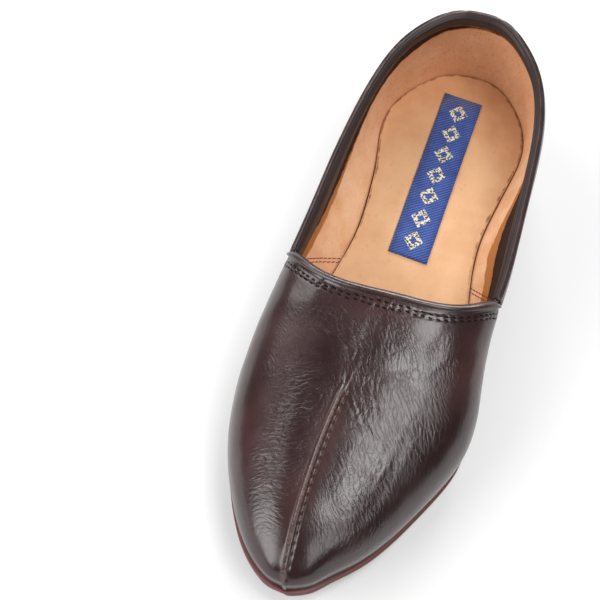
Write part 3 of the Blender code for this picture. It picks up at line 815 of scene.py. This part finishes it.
def dressInsole():
    piece = dress("insole", 2, sockLeather)
    points = readPoints(piece)
    gap = np.full(len(points), 1e9)
    for pair in outlineOf("insole"):
        gap = np.minimum(gap, alongPath(np.array(pair), points)[0])
    gap = gap / mm
    normals = readPoints(piece, "vertex_normals", "vector")
    front = step(points[:, 1] / mm, 60, 20)
    push(piece, (0.34 + 0.2 * front) * step(np.abs(normals[:, 2]), 0.95, 0.7))
    # the sock's dark edge line, partly painted shade of the joint, is weaker toward the throat
    paint(piece, "edgeShare", 1 - 0.7 * front)    # the line round the sock fades toward the throat
    paint(piece, "edgeGap", gap)
    paint(piece, "counter", step(points[:, 1] / mm, 78, 132))


def dressOutsole():
    piece = dress("outsole", 2, paintedSole)
    points = readPoints(piece)
    normals = readPoints(piece, "vertex_normals", "vector")
    marks = np.arange(-0.14, 0.141, 0.004)
    floors = [points[np.abs(points[:, 1] - mark) < 0.006][:, 2].min() for mark in marks]
    paint(piece, "height", (points[:, 2] - np.interp(points[:, 1], marks, floors)) / mm)
    paint(piece, "beneath", step(-normals[:, 2], 0.3, 0.8))


dressTopline()
dressThroat()
dressInsole()
dressOutsole()
dress("heel", 1, heelRubber)
dress("woven_label", 2, wovenTape, crisp=1.0)


# Stitches

print("stitches")


def lineAt(path, run):
    return np.array([np.interp(run, marksOf(path), path[:, i]) for i in range(3)])


def stitchThroat():
    shape = bmesh.new()
    total = marksOf(throatLine)[-1]
    points = readPoints(upperPiece)
    normals = readPoints(upperPiece, "vertex_normals", "vector")
    near = alongPath(throatLine, points)
    outer = (points[:, 1] < 0.001) & (near[0] < 0.012)
    outer &= (normals * (points - np.array((0, -0.02, 0.02)))).sum(axis=1) > 0
    points, normals, gap, run = points[outer], normals[outer], near[0][outer] / mm, near[1][outer] / mm
    pitch = throat["pitch"]
    for row in (throat["firstRow"], throat["secondRow"]):
        for mark in np.arange(pitch, total / mm - pitch, pitch):
            best = np.argmin((gap - row) ** 2 + (run - mark) ** 2)
            heading = Vector(lineAt(throatLine, (mark + 1) * mm) - lineAt(throatLine, (mark - 1) * mm))
            heading = heading.normalized() + Vector((0, throat["slant"], 0))
            spot, normal = Vector(points[best]), Vector(normals[best])
            addStitch(shape, spot, heading, normal, throat["stitch"], throat["thick"])
    # the stitches are near-black pills: thread, with painted shade of the sunk holes
    return makePiece("throat_stitches", shape, [darkThreadAndHoleShade])


def stitchToe():
    shape = bmesh.new()
    corners = [(seamAcross(y), y) for y in np.linspace(toeSeam["start"], toeSeam["end"], 9)]
    line = softLine(corners, toeSeam["pitch"])
    for x, y in line[:-2]:
        above = Vector(((x + toeSeam["stitchSide"]) * mm, y * mm, 0.2))
        hit, normal, face, away = upperTree.ray_cast(above, Vector((0, 0, -1)))
        heading = Vector((-0.25, -1, 0))
        addStitch(shape, hit, heading, normal, toeSeam["stitch"], toeSeam["thick"])
    return makePiece("toe_stitches", shape, [seamThread])


# two short double seams across the lining, behind the throat's corners: places along and high
liningSeams = [(-1, ((8, 28), (12, 23), (16, 18.5), (20, 13.5), (23.5, 9.5))),
               (1, ((8, 30), (12, 25), (16.5, 19.5), (21.5, 13), (25.5, 8.5)))]


def stitchLining():
    shape = bmesh.new()
    for side, corners in liningSeams:
        for apart in (0, -1.6):
            for y, z in softLine(corners, 2.5):
                start = Vector((side * 0.01, (y + apart) * mm, (z + apart * 0.4) * mm))
                hit, normal, face, away = upperTree.ray_cast(start, Vector((side, 0, 0)))
                if not hit:
                    continue
                heading = Vector((0, corners[-1][0] - corners[0][0], corners[-1][1] - corners[0][1]))
                addStitch(shape, hit, heading, normal, 3.1, 0.55)
    return makePiece("lining_stitches", shape, [rustThread])


stitchThroat()
stitchToe()
stitchLining()


# Floor, light and camera

print("studio")
studio = {"floor": 0.5, "glow": 0.30, "sky": 0.06, "away": 1.1,
          # tilt from overhead, heading from the outer side, size and power of each soft box
          "boxes": {"key": (20, 0, 0.5, 7), "outer": (45, 320, 0.6, 4), "inner": (60, 215, 0.8, 12),
                    "back": (65, 90, 0.6, 11), "backInner": (55, 145, 0.5, 3.5)}}


def makeFloor():
    shape = bmesh.new()
    bmesh.ops.create_grid(shape, x_segments=1, y_segments=1, size=3.0)
    mesh = bpy.data.meshes.new("floor")
    shape.to_mesh(mesh)
    shape.free()
    paper = newFinish("paper", Roughness=0.9, Base_Color=(studio["floor"],) * 3 + (1,),
                      Emission_Color=(1, 1, 1, 1), Emission_Strength=studio["glow"])
    mesh.materials.append(paper)
    floor = bpy.data.objects.new("floor", mesh)
    bpy.context.collection.objects.link(floor)


def addBox(name, tilt, heading, size, power):
    tilt, heading = math.radians(tilt), math.radians(heading)
    toward = Vector((math.sin(tilt) * math.cos(heading), math.sin(tilt) * math.sin(heading), math.cos(tilt)))
    lamp = bpy.data.lights.new(name, "AREA")
    lamp.size = size
    lamp.energy = power
    holder = bpy.data.objects.new(name, lamp)
    holder.location = Vector((0, -0.05, 0.03)) + toward * studio["away"]
    holder.rotation_euler = toward.to_track_quat("Z", "Y").to_euler()
    bpy.context.collection.objects.link(holder)


def makeCamera():
    view = {"azimuth": 13.1, "elevation": 59.8, "roll": 2.7, "away": 0.923, "lens": 125.4,
            "aim": (-0.0372, -0.0083, 0.02)}
    azimuth, elevation, roll = (math.radians(view[key]) for key in ("azimuth", "elevation", "roll"))
    back = Vector((math.sin(azimuth) * math.cos(elevation), -math.cos(azimuth) * math.cos(elevation),
                   math.sin(elevation)))
    right = Vector((0, 0, 1)).cross(back).normalized()
    up = back.cross(right)
    turned = right * math.cos(roll) + up * math.sin(roll)
    upright = up * math.cos(roll) - right * math.sin(roll)
    lens = bpy.data.cameras.new("camera")
    lens.sensor_width = 36
    lens.lens = view["lens"]
    camera = bpy.data.objects.new("camera", lens)
    spot = Vector(view["aim"]) + back * view["away"]
    camera.matrix_world = Matrix((turned, upright, back)).transposed().to_4x4()
    camera.location = spot
    bpy.context.collection.objects.link(camera)
    bpy.context.scene.camera = camera


makeFloor()
for name, settings in studio["boxes"].items():
    addBox(name, *settings)
makeCamera()
world = bpy.data.worlds.new("studioAir")
world.use_nodes = True
world.node_tree.nodes["Background"].inputs["Color"].default_value = (1, 1, 1, 1)
world.node_tree.nodes["Background"].inputs["Strength"].default_value = studio["sky"]
bpy.context.scene.world = world
bpy.context.scene.view_settings.view_transform = "Standard"
